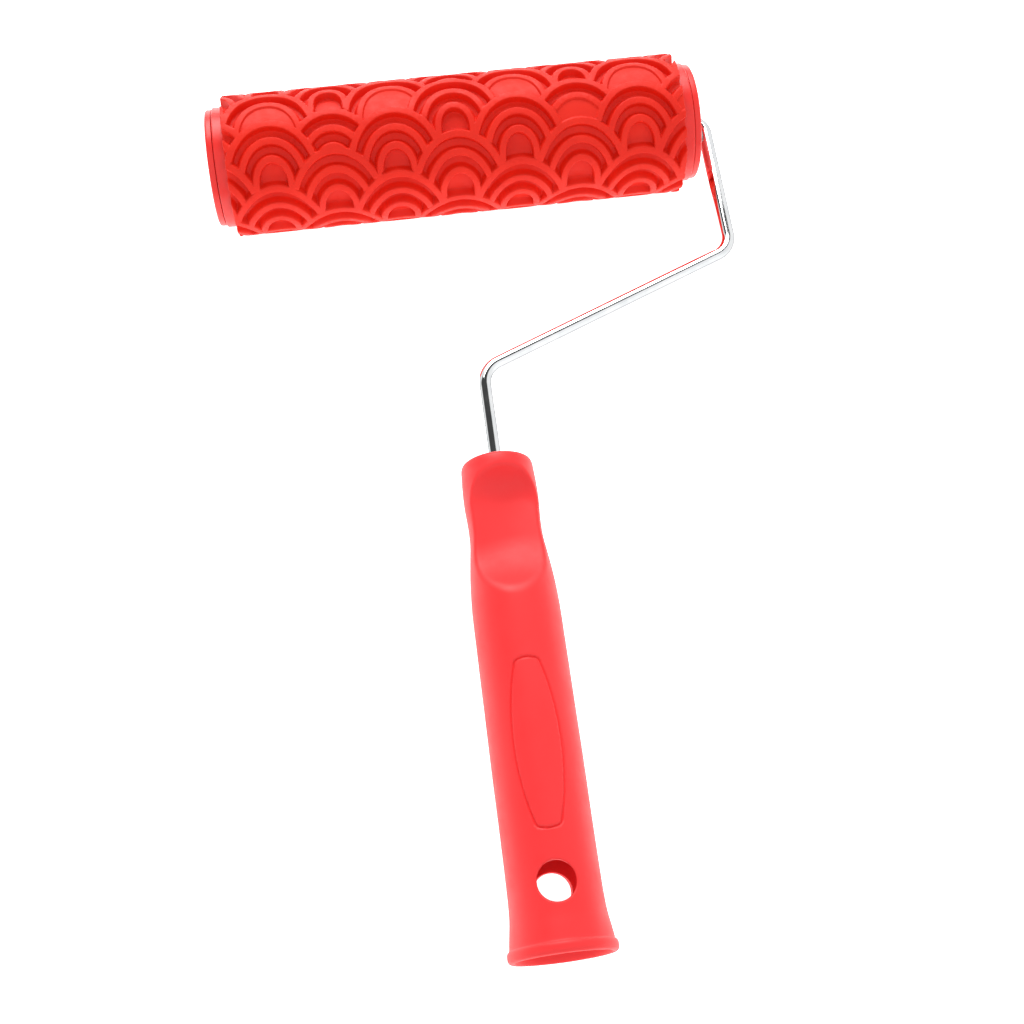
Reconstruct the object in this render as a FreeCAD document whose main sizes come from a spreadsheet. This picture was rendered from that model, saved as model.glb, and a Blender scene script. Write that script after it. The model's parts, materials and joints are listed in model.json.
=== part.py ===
import FreeCAD, Part
import math
import os

import Sketcher
from FreeCAD import Vector

# Textured pattern roller: rubber sleeve with overlapping arched scallops, on a bent wire frame with a
# hollow handle.
#
# Design frame, in millimetres: the roller turns about X, through the origin. The wire frame lies in the
# XY plane, the handle runs towards -Y from (handle_x, handle_top_y), and +Z is the side that faces up.
# The finished sub-parts all get one resting placement, which lays the tool on a table: the roller and
# the rim of the handle's mouth both touch z = 0. The handle is modelled parallel to Y, and leans by
# handle_lean in its own placement.

DRIVING_SIZES = {
    # rubber sleeve
    "sleeve_radius": 25.0,
    "sleeve_floor_radius": 22.2,
    "sleeve_half_length": 81.75,
    # scallops of the relief, measured on the developed surface of the sleeve
    "column_pitch": 21.77,
    "first_column_x": -0.5,
    "row_pitch_angle": 54.5,
    "row_count": 7,
    "first_apex_angle": 86.4,
    "arch_centre_depth": 23.0,
    # core and end caps
    "core_radius": 21.25,
    "core_bore_radius": 18.8,
    "core_half_length": 85.5,
    "roller_half_length": 88.2,
    "cap_flange_radius": 20.6,
    "cap_flange_gap": 0.2,
    "cap_skirt_depth": 14.0,
    "cap_skirt_wall": 2.0,
    "cap_web_depth": 4.2,
    "cap_web_thickness": 2.4,
    "cap_hub_radius": 9.0,
    "cap_recess_radius": 7.6,
    # axle hardware
    "wire_radius": 2.75,
    "bush_bore_radius": 2.81,
    "bush_radius": 5.5,
    "bush_flange_radius": 7.2,
    "bush_flange_thickness": 1.2,
    "bush_length": 13.0,
    "washer_radius": 6.6,
    "washer_bore_radius": 2.95,
    "washer_thickness": 0.8,
    "washer_gap": 0.12,
    "ear_width": 4.2,
    "ear_length": 1.6,
    "ear_thickness": 1.6,
    "nut_radius": 6.0,
    "nut_thickness": 0.6,
    "nut_collar_radius": 3.6,
    "nut_collar_length": 1.6,
    "axle_free_end": 88.0,
    # bends of the wire frame
    "frame_side_x": 93.0,
    "outer_bend_y": -56.1,
    "handle_bend_y": -93.4,
    "roller_bend_radius": 6.5,
    "outer_bend_radius": 8.5,
    "handle_bend_radius": 9.0,
    "tang_depth": 46.0,
    # handle: distances are measured from its top, down towards its mouth
    "handle_x": -1.85,
    "handle_lean": 0.5,
    "handle_top_y": -128.3,
    "handle_length": 161.9,
    "handle_top_radius": 12.1,
    "handle_shoulder_radius": 12.45,
    "handle_waist_radius": 12.05,
    "handle_swell_radius": 13.6,
    "handle_thumb_end_radius": 14.2,
    "handle_grip_radius": 14.45,
    "handle_hole_radius": 14.5,
    "handle_neck_radius": 14.7,
    "handle_flare_radius": 15.5,
    "handle_rim_radius": 16.9,
    "handle_top_rounding": 2.0,
    "rim_bead_width": 2.4,
    "scoop_start": 3.4,
    "scoop_floor_start": 9.0,
    "scoop_floor_end": 36.5,
    "scoop_end": 53.0,
    "scoop_floor_height": 5.2,
    "scoop_top_rounding": 7.0,
    "scoop_foot_rounding": 12.0,
    "socket_radius": 12.2,
    "socket_tip_depth": 62.0,
    "socket_shoulder_depth": 68.0,
    "socket_straight_end": 134.0,
    "socket_mouth_radius": 12.5,
    "socket_flare_depth": 152.0,
    "rim_bore_radius": 14.6,
    "hang_hole_depth": 141.0,
    "hang_hole_radius": 6.1,
}

# Rubber ridges of one scallop, outermost first: semi-axes (half width, height) of the arch's outer and
# inner edges.
RIDGES = [
    ((17.4, 23.0), (14.9, 20.4)),
    ((12.4, 16.5), (10.0, 13.9)),
    ((7.3, 10.0), (4.9, 7.4)),
]
# {column: {row: degrees}} by which a scallop stands off its regular place, as in a mould that was cut by
# hand.
APEX_SHIFTS = {
    -4: {0: 3.5, 1: 2.5, 6: 3.0},
    -3: {0: 3.0, 1: 2.5},
    -2: {0: 3.5, 1: 2.5, 6: 3.0},
    -1: {0: 1.5, 6: -8.0},
    0: {0: -0.5, 1: 2.0, 6: -22.0},
    1: {0: -2.0, 1: -0.5, 6: -8.5},
    2: {0: -1.0, 1: 2.5, 6: -5.0},
    3: {0: -1.0, 1: 0.5, 6: -8.0},
    4: {0: -1.0, 1: 2.0, 6: -5.0},
}
# (column, row) of the scallops next to the seam that have no third ridge.
TWO_RIDGE_SCALLOPS = {(-3, 6), (-1, 6), (1, 6), (2, 6), (3, 6), (4, 6)}
HANDLE_STATIONS = [
    ("0", "handle_top_radius"),
    ("6", "handle_shoulder_radius"),
    ("16", "handle_shoulder_radius"),
    ("22", "handle_waist_radius"),
    ("28", "handle_waist_radius"),
    ("41", "handle_swell_radius"),
    ("50", "handle_thumb_end_radius"),
    ("64", "handle_grip_radius"),
    ("105", "handle_grip_radius"),
    ("dims.hang_hole_depth", "handle_hole_radius"),
    ("147", "handle_neck_radius"),
    ("153", "handle_flare_radius"),
    ("dims.handle_length - dims.rim_bead_width", "handle_rim_radius"),
    ("dims.handle_length", "handle_rim_radius"),
]

doc = FreeCAD.newDocument("pattern_roller")
sheet = doc.addObject("Spreadsheet::Sheet", "dims")
for row, (alias, value) in enumerate(DRIVING_SIZES.items(), start=1):
    sheet.set(f"A{row}", alias)
    sheet.set(f"B{row}", str(value))
    sheet.setAlias(f"B{row}", alias)
doc.recompute()


def size(alias):
    """Value of one driving dimension, read back from the sheet."""
    return float(getattr(sheet, alias))


def resting_placement():
    """Lay the tool down: tilt about the roller's axis until the rim of the handle touches the table."""
    reach = size("handle_length") - size("handle_top_y")
    drop = size("sleeve_radius") - size("handle_rim_radius")
    tilt = math.degrees(math.asin(drop / math.hypot(reach, size("handle_rim_radius"))))
    rim_y = -reach * math.cos(math.radians(tilt))
    middle_x = (size("frame_side_x") + size("wire_radius") - size("roller_half_length")) / 2
    middle_y = (size("sleeve_radius") + rim_y) / 2
    rotation = FreeCAD.Rotation(Vector(1, 0, 0), tilt)
    return FreeCAD.Placement(Vector(-middle_x, -middle_y, size("sleeve_radius")), rotation)


# ---------------------------------------------------------------- PartDesign helpers

def new_body(name):
    body = doc.addObject("PartDesign::Body", name)
    body.Label = name
    return body


def new_sketch(body, name, role, offset=None):
    """Sketch on one of the body's own origin planes, moved along its normal by an expression."""
    plane = next(item for item in body.Origin.OriginFeatures if item.Role == role)
    sketch = body.newObject("Sketcher::SketchObject", name)
    sketch.AttachmentSupport = [(plane, "")]
    sketch.MapMode = "FlatFace"
    if offset:
        sketch.setExpression("AttachmentOffset.Base.z", offset)
    doc.recompute()
    return sketch


def fix_point(sketch, geometry, vertex, place):
    """Bind one vertex to the sheet: each coordinate is an expression, and 0 puts it on the axis."""
    for kind, axis, expression in (("DistanceX", -2, place[0]), ("DistanceY", -1, place[1])):
        value = float(sheet.evalExpression(expression))
        if abs(value) < 1e-9:
            sketch.addConstraint(Sketcher.Constraint("PointOnObject", geometry, vertex, axis))
        else:
            index = sketch.addConstraint(Sketcher.Constraint(kind, geometry, vertex, value))
            sketch.setExpression(f"Constraints[{index}]", expression)


def add_polygon(sketch, places):
    """Closed outline through points whose coordinates are expressions on the sheet."""
    corners = [Vector(*(float(sheet.evalExpression(part)) for part in place), 0) for place in places]
    count = len(corners)
    for index, corner in enumerate(corners):
        sketch.addGeometry(Part.LineSegment(corner, corners[(index + 1) % count]), False)
    for index in range(count):
        sketch.addConstraint(Sketcher.Constraint("Coincident", index, 2, (index + 1) % count, 1))
    for index, place in enumerate(places):
        fix_point(sketch, index, 1, place)


def add_circle(sketch, centre, radius):
    """Circle whose centre and radius are expressions on the sheet."""
    start = Vector(*(float(sheet.evalExpression(part)) for part in centre), 0)
    value = float(sheet.evalExpression(radius))
    index = sketch.addGeometry(Part.Circle(start, Vector(0, 0, 1), value), False)
    fix_point(sketch, index, 3, centre)
    bound = sketch.addConstraint(Sketcher.Constraint("Radius", index, value))
    sketch.setExpression(f"Constraints[{bound}]", radius)


def turned_body(name, places):
    """Body of revolution about X, from an outline of (x, radius) expressions."""
    body = new_body(name)
    sketch = new_sketch(body, f"{name}_outline", "XY_Plane")
    add_polygon(sketch, places)
    turned = body.newObject("PartDesign::Revolution", f"{name}_turned")
    turned.Profile = sketch
    turned.ReferenceAxis = (sketch, ["H_Axis"])
    turned.Angle = 360
    doc.recompute()
    return body


def edges_at(feature, test):
    """Names of the feature's edges whose centre of mass passes the test."""
    edges = feature.Shape.Edges
    return [f"Edge{number}" for number, edge in enumerate(edges, start=1) if test(edge.CenterOfMass)]


def add_fillet(body, name, base, edge_names, radius):
    fillet = body.newObject("PartDesign::Fillet", name)
    fillet.Base = (base, edge_names)
    fillet.setExpression("Radius", radius)
    doc.recompute()
    return fillet


# ---------------------------------------------------------------- roller

def make_core_tube():
    ends = ("-dims.core_half_length", "dims.core_half_length")
    return turned_body("core_tube", [
        (ends[0], "dims.core_bore_radius"),
        (ends[1], "dims.core_bore_radius"),
        (ends[1], "dims.core_radius"),
        (ends[0], "dims.core_radius"),
    ])


def make_end_cap(name, side):
    """Push-in cap: flange outside the core, skirt inside it, and a web with a hub that carries the bush."""
    def along(distance):
        return f"{side} * ({distance})"

    face = along("dims.roller_half_length")
    flange_back = along("dims.core_half_length + dims.cap_flange_gap")
    skirt_end = along("dims.core_half_length - dims.cap_skirt_depth")
    web_front = along("dims.roller_half_length - dims.cap_web_depth")
    web_back = along("dims.roller_half_length - dims.cap_web_depth - dims.cap_web_thickness")
    hub_end = along("dims.roller_half_length - dims.cap_web_depth - dims.bush_length")
    skirt_inside = "dims.core_bore_radius - dims.cap_skirt_wall"
    chamfer = 0.8
    body = turned_body(name, [
        (web_front, "dims.bush_radius"),
        (web_front, "dims.cap_recess_radius"),
        (face, "dims.cap_recess_radius + 0.4"),
        (face, f"dims.cap_flange_radius - {chamfer}"),
        (along(f"dims.roller_half_length - {chamfer}"), "dims.cap_flange_radius"),
        (flange_back, "dims.cap_flange_radius"),
        (flange_back, "dims.core_bore_radius"),
        (skirt_end, "dims.core_bore_radius"),
        (skirt_end, skirt_inside),
        (web_back, skirt_inside),
        (web_back, "dims.cap_hub_radius"),
        (hub_end, "dims.cap_hub_radius"),
        (hub_end, "dims.bush_radius"),
    ])
    return body


def make_bush(name, side):
    """Flanged plain bearing: its flange lies in the cap's recess and its barrel runs through the hub."""
    def along(distance):
        return f"{side} * ({distance})"

    flange_face = along("dims.roller_half_length - dims.cap_web_depth + dims.bush_flange_thickness")
    flange_back = along("dims.roller_half_length - dims.cap_web_depth")
    barrel_end = along("dims.roller_half_length - dims.cap_web_depth - dims.bush_length")
    return turned_body(name, [
        (flange_face, "dims.bush_bore_radius"),
        (flange_face, "dims.bush_flange_radius"),
        (flange_back, "dims.bush_flange_radius"),
        (flange_back, "dims.bush_radius"),
        (barrel_end, "dims.bush_radius"),
        (barrel_end, "dims.bush_bore_radius"),
    ])


def washer_seat():
    """Distance from the middle of the roller to the inner face of a thrust washer."""
    return "dims.roller_half_length - dims.cap_web_depth + dims.bush_flange_thickness + dims.washer_gap"


def make_thrust_washer(name, side):
    inner = f"{side} * ({washer_seat()})"
    outer = f"{side} * ({washer_seat()} + dims.washer_thickness)"
    return turned_body(name, [
        (inner, "dims.washer_bore_radius"),
        (outer, "dims.washer_bore_radius"),
        (outer, "dims.washer_radius"),
        (inner, "dims.washer_radius"),
    ])


def make_axle_lock_nut():
    """Push-on nut on the axle's free end: a thin dish with a short collar that grips the wire."""
    seat = f"-({washer_seat()} + dims.washer_thickness + dims.washer_gap)"
    return turned_body("axle_lock_nut", [
        (seat, "dims.wire_radius"),
        (seat, "dims.nut_radius"),
        (f"{seat} - dims.nut_thickness", "dims.nut_radius"),
        (f"{seat} - dims.nut_thickness", "dims.nut_collar_radius"),
        (f"{seat} - dims.nut_collar_length", "dims.nut_collar_radius"),
        (f"{seat} - dims.nut_collar_length", "dims.wire_radius"),
    ])


def arch_outline(middle_x, apex, half_width, height, lowest):
    """Flat face of one arch, seen along the radius that passes through the middle of the scallop.

    apex, height and lowest are distances on the developed surface, down from the scallop's own apex.
    A point at such a distance is put where the cylinder carries it, so that an arch keeps its shape.
    """
    radius = size("sleeve_radius")
    view_middle = size("arch_centre_depth") / 2
    crown_depth = apex + height

    def place(x, depth):
        return Vector(middle_x + x, -radius * math.sin((depth - view_middle) / radius), 0)

    visible_depth = max(-1.0, (crown_depth - lowest) / height)
    sweep = math.acos(visible_depth) if visible_depth > 0 else math.pi / 2
    steps = 16
    angles = [sweep * (2 * step / steps - 1) for step in range(steps + 1)]
    crown = [place(half_width * math.sin(turn), crown_depth - height * math.cos(turn)) for turn in angles]
    curve = Part.BSplineCurve()
    curve.interpolate(crown)
    outline = [curve.toShape()]
    feet = [crown[-1], crown[0]]
    if visible_depth <= 0:
        feet[1:1] = [place(half_width, lowest), place(-half_width, lowest)]
    outline += [Part.makeLine(first, second) for first, second in zip(feet, feet[1:])]
    return Part.Face(Part.Wire(outline))


def scallop_pockets(neighbours, ridges):
    """Cutters for the hollows between one scallop's ridges, clipped by the scallops that lie over it.

    neighbours lists (x offset, distance down) from this scallop's apex to the apex of each one over it.
    """
    centre = size("arch_centre_depth")
    lowest = centre + 9
    outer_arch = RIDGES[0][0]
    cover = [arch_outline(x, down, *outer_arch, lowest) for x, down in neighbours if down < lowest - 1]
    cutters = []
    for index, (_, inner_edge) in enumerate(ridges):
        hollow = arch_outline(0, centre - inner_edge[1], *inner_edge, lowest)
        filled = list(cover)
        if index + 1 < len(ridges):
            next_edge = ridges[index + 1][0]
            filled.append(arch_outline(0, centre - next_edge[1], *next_edge, lowest))
        left = hollow.cut(filled)
        cutters += [face.extrude(Vector(0, 0, 12)) for face in left.Faces if face.Area > 0.5]
    for cutter in cutters:
        cutter.translate(Vector(0, 0, size("sleeve_floor_radius") - 6))
    floor = Part.makeCylinder(size("sleeve_floor_radius"), 120, Vector(-60, 0, 0), Vector(1, 0, 0))
    return [solid for cutter in cutters for solid in cutter.cut(floor).Solids]


def scallop_layout():
    """{(column, row): apex angle}; angles grow from +Y towards +Z, and larger ones lie over smaller ones.

    Seven rows at row_pitch_angle come to more than a full turn, so the last row is overlapped more
    closely by the first. Even columns are half a row behind the odd ones, and APEX_SHIFTS moves single
    scallops.
    """
    pitch_angle = size("row_pitch_angle")
    layout = {}
    for column in range(-4, 5):
        lag = 0 if column % 2 else pitch_angle / 2
        for row in range(int(size("row_count"))):
            shift = APEX_SHIFTS.get(column, {}).get(row, 0.0)
            layout[column, row] = size("first_apex_angle") + lag + row * pitch_angle + shift
    return layout


def scallops_over(place, layout):
    """(x offset, distance down) of each scallop that lies over the one at (column, row)."""
    turn = 2 * math.pi * size("sleeve_radius")
    found = []
    for (column, row), apex in layout.items():
        if (column, row) == place or abs(column - place[0]) > 1:
            continue
        down = math.radians(apex - layout[place]) * size("sleeve_radius") % turn
        found.append(((column - place[0]) * size("column_pitch"), round(down, 3)))
    if abs(place[0]) == 4:
        # The column beyond the last one would lie past the sleeve's end: it mirrors the one on the
        # other side.
        found += [(-x, down) for x, down in found if x]
    return found


def make_pattern_sleeve():
    """Rubber sleeve: a tube whose skin is cut back to the floor between overlapping arched ridges."""
    radius = size("sleeve_radius")
    view_middle = math.degrees(size("arch_centre_depth") / 2 / radius)
    half_length = size("sleeve_half_length")
    reach = half_length + RIDGES[0][1][0]
    layout = scallop_layout()
    made = {}
    cutters = []
    for place, apex in layout.items():
        x = size("first_column_x") + place[0] * size("column_pitch")
        if abs(x) > reach:
            continue
        ridges = RIDGES[:2] if place in TWO_RIDGE_SCALLOPS else RIDGES
        over = tuple(sorted(scallops_over(place, layout)))
        if (over, len(ridges)) not in made:
            made[over, len(ridges)] = scallop_pockets(over, ridges)
        for pocket in made[over, len(ridges)]:
            cutter = pocket.copy()
            cutter.rotate(Vector(0, 0, 0), Vector(1, 0, 0), apex + view_middle - 90)
            cutter.translate(Vector(x, 0, 0))
            if cutter.BoundBox.XMin < half_length and cutter.BoundBox.XMax > -half_length:
                cutters.append(cutter)
    start = Vector(-half_length, 0, 0)
    skin = Part.makeCylinder(radius, 2 * half_length, start, Vector(1, 0, 0))
    bore = Part.makeCylinder(size("core_radius"), 2 * half_length, start, Vector(1, 0, 0))
    sleeve = doc.addObject("Part::Feature", "pattern_sleeve")
    sleeve.Shape = skin.cut(bore).cut(cutters)
    return sleeve


# ---------------------------------------------------------------- wire frame

def rounded_path(corners, radii):
    """Wire of straight runs through the corners, joined by tangent arcs of the given radii."""
    edges = []
    start = corners[0]
    for before, corner, after, radius in zip(corners, corners[1:], corners[2:], radii):
        inward = (before - corner).normalize()
        onward = (after - corner).normalize()
        half_turn = inward.getAngle(onward) / 2
        setback = radius / math.tan(half_turn)
        centre = corner + (inward + onward).normalize() * (radius / math.sin(half_turn))
        arc_start = corner + inward * setback
        arc_end = corner + onward * setback
        arc_middle = centre + (corner - centre).normalize() * radius
        edges.append(Part.LineSegment(start, arc_start).toShape())
        edges.append(Part.Arc(arc_start, arc_middle, arc_end).toShape())
        start = arc_end
    edges.append(Part.LineSegment(start, corners[-1]).toShape())
    return Part.Wire(edges)


def make_wire_frame():
    """One bent rod: axle through the roller, two side runs, and a tang that is driven into the handle.

    Two ears pressed out of the axle stop the thrust washer on the frame side.
    """
    lean = math.radians(size("handle_lean"))
    rise = size("handle_bend_y") - size("handle_top_y")
    handle_top = Vector(size("handle_x"), size("handle_top_y"), 0)
    corners = [
        Vector(-size("axle_free_end"), 0, 0),
        Vector(size("frame_side_x"), 0, 0),
        Vector(size("frame_side_x"), size("outer_bend_y"), 0),
        handle_top + Vector(rise * math.tan(lean), rise, 0),
        handle_top - Vector(math.sin(lean), math.cos(lean), 0) * size("tang_depth"),
    ]
    radii = [size("roller_bend_radius"), size("outer_bend_radius"), size("handle_bend_radius")]
    path = rounded_path(corners, radii)
    section = Part.Wire(Part.makeCircle(size("wire_radius"), corners[0], Vector(1, 0, 0)))
    rod = path.makePipeShell([section], True, False)
    washer_face = float(sheet.evalExpression(f"{washer_seat()} + dims.washer_thickness + dims.washer_gap"))
    width = 2 * (size("wire_radius") + size("ear_width") / 2)
    ears = Part.makeBox(size("ear_length"), width, size("ear_thickness"))
    ears.translate(Vector(washer_face, -width / 2, -size("ear_thickness") / 2))
    frame = doc.addObject("Part::Feature", "wire_frame")
    frame.Shape = rod.fuse(ears)
    return frame


# ---------------------------------------------------------------- handle

def make_handle():
    """Hollow moulded handle: solid neck round the tang, thumb scoop, hanging hole and flared socket mouth."""
    body = new_body("handle")
    top = "dims.handle_top_y"

    grip_sketch = new_sketch(body, "grip_outline", "XY_Plane")
    outline = [(f"dims.handle_x + dims.{radius}", f"{top} - ({distance})")
               for distance, radius in HANDLE_STATIONS]
    ends = [("dims.handle_x", f"{top} - dims.handle_length"), ("dims.handle_x", top)]
    add_polygon(grip_sketch, outline + ends)
    grip = body.newObject("PartDesign::Revolution", "grip_outside")
    grip.Profile = grip_sketch
    grip.ReferenceAxis = (grip_sketch, [f"Edge{len(outline) + 1}"])
    grip.Angle = 360
    doc.recompute()

    top_y = size("handle_top_y")
    top_edge = edges_at(grip, lambda centre: abs(centre.y - top_y) < 0.01)
    add_fillet(body, "top_rounding", grip, top_edge, "dims.handle_top_rounding")

    scoop_sketch = new_sketch(body, "scoop_side_view", "YZ_Plane", "dims.handle_x")
    above = "dims.handle_rim_radius"
    add_polygon(scoop_sketch, [
        (f"{top} - dims.scoop_start", above),
        (f"{top} - dims.scoop_floor_start", "dims.scoop_floor_height"),
        (f"{top} - dims.scoop_floor_end", "dims.scoop_floor_height"),
        (f"{top} - dims.scoop_end", above),
    ])
    scoop = body.newObject("PartDesign::Pocket", "thumb_scoop")
    scoop.Profile = scoop_sketch
    scoop.Midplane = True
    scoop.Type = "Length"
    scoop.setExpression("Length", "4 * dims.handle_rim_radius")
    doc.recompute()

    floor = size("scoop_floor_height")
    for name, distance, radius in (
            ("scoop_top_curve", "scoop_floor_start", "dims.scoop_top_rounding"),
            ("scoop_foot_curve", "scoop_floor_end", "dims.scoop_foot_rounding")):
        corner_y = top_y - size(distance)
        base = body.Tip
        corner = edges_at(base, lambda centre: abs(centre.y - corner_y) < 0.01
                          and abs(centre.z - floor) < 0.01)
        add_fillet(body, name, base, corner, radius)

    tang_sketch = new_sketch(body, "tang_circle", "XZ_Plane", f"-{top}")
    add_circle(tang_sketch, ("dims.handle_x", "0"), "dims.wire_radius")
    tang = body.newObject("PartDesign::Pocket", "tang_bore")
    tang.Profile = tang_sketch
    tang.Type = "Length"
    tang.setExpression("Length", "dims.tang_depth")
    tang.Reversed = True
    doc.recompute()

    socket_sketch = new_sketch(body, "socket_outline", "XY_Plane")
    axis_x = "dims.handle_x"
    add_polygon(socket_sketch, [
        (axis_x, f"{top} - dims.socket_tip_depth"),
        (f"{axis_x} + 5", f"{top} - dims.socket_tip_depth"),
        (f"{axis_x} + dims.socket_radius", f"{top} - dims.socket_shoulder_depth"),
        (f"{axis_x} + dims.socket_radius", f"{top} - dims.socket_straight_end"),
        (f"{axis_x} + dims.socket_mouth_radius", f"{top} - dims.socket_flare_depth"),
        (f"{axis_x} + dims.rim_bore_radius", f"{top} - dims.handle_length"),
        (axis_x, f"{top} - dims.handle_length"),
    ])
    socket = body.newObject("PartDesign::Groove", "pole_socket")
    socket.Profile = socket_sketch
    socket.ReferenceAxis = (socket_sketch, ["Edge7"])
    socket.Angle = 360
    doc.recompute()

    hole_sketch = new_sketch(body, "hang_hole_circle", "XY_Plane")
    add_circle(hole_sketch, (axis_x, f"{top} - dims.hang_hole_depth"), "dims.hang_hole_radius")
    hole = body.newObject("PartDesign::Pocket", "hang_hole")
    hole.Profile = hole_sketch
    hole.Midplane = True
    hole.Type = "Length"
    hole.setExpression("Length", "4 * dims.handle_rim_radius")
    doc.recompute()
    return body


# ---------------------------------------------------------------- assembly and export

def check_document(parts):
    for item in doc.Objects:
        if "Invalid" in item.State or "Error" in item.State:
            raise RuntimeError(f"{item.Label} did not compute: {item.State}")
    for item in parts:
        if item.Shape.isNull() or not item.Shape.isValid() or not item.Shape.Solids:
            raise RuntimeError(f"{item.Label} has no valid solid")


parts = [
    make_wire_frame(),
    make_handle(),
    make_core_tube(),
    make_pattern_sleeve(),
    make_axle_lock_nut(),
]
for place_name, direction in (("frame_side", 1), ("free_side", -1)):
    parts.append(make_end_cap(f"end_cap_{place_name}", direction))
    parts.append(make_bush(f"bearing_bush_{place_name}", direction))
    parts.append(make_thrust_washer(f"thrust_washer_{place_name}", direction))

laid_down = resting_placement()
for part in parts:
    part.Placement = laid_down
    if part.Label == "handle":
        top = Vector(size("handle_x"), size("handle_top_y"), 0)
        leaning = FreeCAD.Rotation(Vector(0, 0, 1), -size("handle_lean"))
        part.Placement = laid_down * FreeCAD.Placement(Vector(0, 0, 0), leaning, top)
doc.recompute()
check_document(parts)

os.makedirs("parts", exist_ok=True)
for part in parts:
    part.Shape.exportStep(f"parts/{part.Label}.step")
    box = part.Shape.BoundBox
    print(f"{part.Label:28s} {part.Shape.Volume:12.1f} mm3  x {box.XMin:8.2f} {box.XMax:8.2f}"
          f"  y {box.YMin:8.2f} {box.YMax:8.2f}  z {box.ZMin:7.2f} {box.ZMax:7.2f}"
          f"  solids {len(part.Shape.Solids)}")
print("tilt", laid_down.Rotation.Angle, "base", laid_down.Base)
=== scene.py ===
"""Looks of the textured pattern roller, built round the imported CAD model.

Shapes are worked out in millimetres in the tool's own frame: the roller turns about X through the origin,
the handle runs along -Y and +Z is the side that faces up. lay() carries them into the row frame, in metres.
"""

import json
import math

import bmesh
import bpy
import numpy as np
from mathutils import Matrix, Vector
from mathutils.geometry import delaunay_2d_cdt


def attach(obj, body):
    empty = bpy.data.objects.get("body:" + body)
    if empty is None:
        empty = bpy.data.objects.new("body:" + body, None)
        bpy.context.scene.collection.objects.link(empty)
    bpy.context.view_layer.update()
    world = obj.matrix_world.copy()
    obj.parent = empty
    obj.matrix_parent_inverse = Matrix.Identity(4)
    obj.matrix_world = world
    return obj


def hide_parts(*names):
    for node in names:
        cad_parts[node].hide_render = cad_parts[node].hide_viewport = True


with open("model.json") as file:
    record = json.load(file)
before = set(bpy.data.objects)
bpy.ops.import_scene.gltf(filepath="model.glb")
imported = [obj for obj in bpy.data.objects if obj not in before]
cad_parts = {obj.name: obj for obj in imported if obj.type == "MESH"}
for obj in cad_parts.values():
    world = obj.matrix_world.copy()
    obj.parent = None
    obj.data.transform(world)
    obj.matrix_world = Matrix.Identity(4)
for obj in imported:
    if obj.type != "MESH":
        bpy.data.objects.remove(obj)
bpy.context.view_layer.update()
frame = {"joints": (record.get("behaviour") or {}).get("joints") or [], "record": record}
MM = 0.001
TAU = 2 * math.pi
SAME_PLACE = 0.004 * MM
SHORTEST_EDGE = 0.0005 * MM

# ---------------------------------------------------------------- the tool's frame in the row frame

record = frame["record"]
spin = next(joint for joint in frame["joints"] if joint["name"] == "roller_spin")
socket_axis = next(mount for mount in record["mounts"] if mount["name"] == "pole_socket")["axis"]
AXLE_POINT = np.array(spin["pos_m"])
TILT = math.atan2(-socket_axis[2], -socket_axis[1])
ACROSS = np.array([1.0, 0.0, 0.0])
TO_ROLLER = np.array([0.0, math.cos(TILT), math.sin(TILT)])
UPWARD = np.array([0.0, -math.sin(TILT), math.cos(TILT)])


def lay(points):
    """Points of the tool's frame, in millimetres, as points of the row frame, in metres."""
    points = np.asarray(points, float).reshape(-1, 3) * MM
    return AXLE_POINT + points @ np.array([ACROSS, TO_ROLLER, UPWARD])


# ---------------------------------------------------------------- mesh helpers

def add_mesh(name, points, faces, material, body, stands_for):
    """Mesh object in the row frame, smooth, with area-weighted normals, in place of a CAD node."""
    mesh = bpy.data.meshes.new(name)
    mesh.from_pydata([tuple(p) for p in lay(points)], [], [tuple(int(i) for i in f) for f in faces])
    work = bmesh.new()
    work.from_mesh(mesh)
    bmesh.ops.remove_doubles(work, verts=work.verts, dist=SAME_PLACE)
    bmesh.ops.dissolve_degenerate(work, edges=work.edges, dist=SHORTEST_EDGE)
    bmesh.ops.recalc_face_normals(work, faces=work.faces)
    work.to_mesh(mesh)
    work.free()
    mesh.validate()
    mesh.update()
    set_normals(mesh)
    mesh.materials.append(material)
    piece = bpy.data.objects.new(name, mesh)
    bpy.context.scene.collection.objects.link(piece)
    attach(piece, body)
    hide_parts(stands_for)


def set_normals(mesh):
    """Vertex normals weighted by face area: flat tops and walls shade flat up to their rounded edges."""
    mesh.polygons.foreach_set("use_smooth", [True] * len(mesh.polygons))
    count = len(mesh.vertices)
    area = np.zeros(len(mesh.polygons))
    normal = np.zeros(len(mesh.polygons) * 3)
    mesh.polygons.foreach_get("area", area)
    mesh.polygons.foreach_get("normal", normal)
    normal = normal.reshape(-1, 3) * area[:, None]
    corners = np.zeros(len(mesh.loops), int)
    mesh.loops.foreach_get("vertex_index", corners)
    sizes = np.zeros(len(mesh.polygons), int)
    mesh.polygons.foreach_get("loop_total", sizes)
    owner = np.repeat(np.arange(len(sizes)), sizes)
    total = np.zeros((count, 3))
    for k in range(3):
        total[:, k] = np.bincount(corners, weights=normal[owner, k], minlength=count)
    length = np.linalg.norm(total, axis=1)
    length[length == 0] = 1
    mesh.normals_split_custom_set_from_vertices((total / length[:, None]).tolist())


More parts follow.
